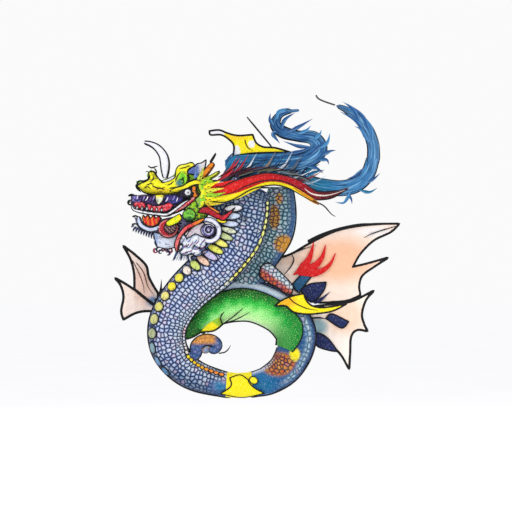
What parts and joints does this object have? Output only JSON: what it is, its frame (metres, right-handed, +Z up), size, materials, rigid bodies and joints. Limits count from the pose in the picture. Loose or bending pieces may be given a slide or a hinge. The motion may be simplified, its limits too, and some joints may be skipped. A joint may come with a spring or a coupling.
{
  "type": "dragon kite",
  "caption": "Figure kite shaped as a coiled dragon: lined silk sleeves on a cane hoop and crossed spars, with folding fins, hinged jaw and swinging tail.",
  "frame": {"origin": "middle of the flat rear face of the hub block, where the kite is held", "axes": "+Z up as the kite hangs, +X to the right as the picture side is seen, -Y towards the viewer of the picture side"},
  "size_m": [1.005, 0.226, 1.0613],
  "materials": {
    "carbon": "satin",
    "cane": "satin",
    "moulded": "matte",
    "steel": "satin",
    "scale_silk": "satin",
    "blue_silk": "satin",
    "green_silk": "satin",
    "yellow_silk": "satin",
    "orange_silk": "satin",
    "red_silk": "satin",
    "cream_silk": "satin",
    "white_silk": "satin"
  },
  "bodies": {
    "root": {"spine_spar": "carbon", "cross_spar": "carbon", "belly_hoop": "cane", "hub_block": "moulded", "head_arm": "carbon", "hoop_strut_bottom": "moulded", "hoop_strut_left": "moulded", "tail_strut": "carbon", "left_fin_fitting": "moulded", "left_fin_post": "carbon", "wing_fitting": "moulded", "wing_post": "carbon", "lower_fin_fitting": "moulded", "lower_fin_post": "carbon", "coil_sleeve": "scale_silk", "bottom_saddle": "yellow_silk", "ring_sleeve": "blue_silk", "rear_neck_sleeve": "blue_silk", "coil_former_1": "cane", "coil_former_2": "cane", "ring_former": "cane", "belly_scutes": "yellow_silk", "green_belly_panel": "green_silk", "tail_curl": "orange_silk", "hip_pad": "orange_silk", "hip_fin_sail": "yellow_silk", "plume_sleeve": "blue_silk", "dorsal_fin_sail": "yellow_silk", "red_banner": "red_silk", "yellow_banner": "yellow_silk", "tow_tab": "moulded"},
    "head": {"skull_shell": "yellow_silk", "muzzle": "red_silk", "horn_near": "white_silk", "horn_far": "white_silk", "mane_collar": "yellow_silk", "beard": "white_silk", "jaw_pin": "steel", "cheek_plate_near": "green_silk", "cheek_plate_far": "green_silk", "eye_axle": "steel"},
    "jaw": {"jaw_shell": "red_silk", "tongue": "orange_silk"},
    "near_eye": {"eye_near": "white_silk"},
    "far_eye": {"eye_far": "white_silk"},
    "left_fins": {"left_hem_tube": "carbon", "left_upper_sail": "cream_silk", "left_lower_sail": "cream_silk", "left_fin_rib": "carbon"},
    "wing": {"wing_hem_tube": "carbon", "wing_sail": "cream_silk", "wing_leading_spar": "carbon", "wing_rib": "carbon"},
    "lower_fin": {"lower_hem_tube": "carbon", "lower_fin_sail": "cream_silk", "lower_fin_rib": "carbon"},
    "tail": {"tail_sleeve": "blue_silk"},
    "tail_tip": {"tail_tip_sleeve": "blue_silk", "tail_whip": "carbon"},
    "ring": {"tow_ring": "steel"}
  },
  "joints": [
    {"name": "head_nod", "type": "hinge", "parent": "root", "child": "head", "pos_m": [-0.16, -0.166, 0.36], "axis": [0, 1, 0], "range_deg": [-8, 8]},
    {"name": "jaw_open", "type": "hinge", "parent": "head", "child": "jaw", "pos_m": [-0.235, -0.166, 0.3], "axis": [0, 1, 0], "range_deg": [-15, 5]},
    {"name": "near_eye_spin", "type": "hinge", "parent": "head", "child": "near_eye", "pos_m": [-0.232, -0.166, 0.384], "axis": [0, 1, 0], "continuous": true},
    {"name": "far_eye_spin", "type": "hinge", "parent": "head", "child": "far_eye", "pos_m": [-0.232, -0.166, 0.384], "axis": [0, 1, 0], "continuous": true},
    {"name": "left_fins_fold", "type": "hinge", "parent": "root", "child": "left_fins", "pos_m": [-0.338, -0.026, 0], "axis": [0, 0, -1], "range_deg": [0, 90]},
    {"name": "wing_fold", "type": "hinge", "parent": "root", "child": "wing", "pos_m": [0.062, -0.026, 0], "axis": [0, 0, 1], "range_deg": [0, 90]},
    {"name": "lower_fin_fold", "type": "hinge", "parent": "root", "child": "lower_fin", "pos_m": [0.152, -0.026, 0], "axis": [0, 0, 1], "range_deg": [0, 90]},
    {"name": "tail_swing", "type": "hinge", "parent": "root", "child": "tail", "pos_m": [0.164, -0.095, 0.42], "axis": [0, 0, 1], "range_deg": [-20, 20]},
    {"name": "tail_tip_swing", "type": "hinge", "parent": "tail", "child": "tail_tip", "pos_m": [0.414, -0.095, 0.505], "axis": [1, 0, 0], "range_deg": [-15, 15]},
    {"name": "tow_ring_swing", "type": "hinge", "parent": "root", "child": "ring", "pos_m": [-0.035, -0.22, 0.296], "axis": [1, 0, 0], "range_deg": [-110, 5]}
  ]
}
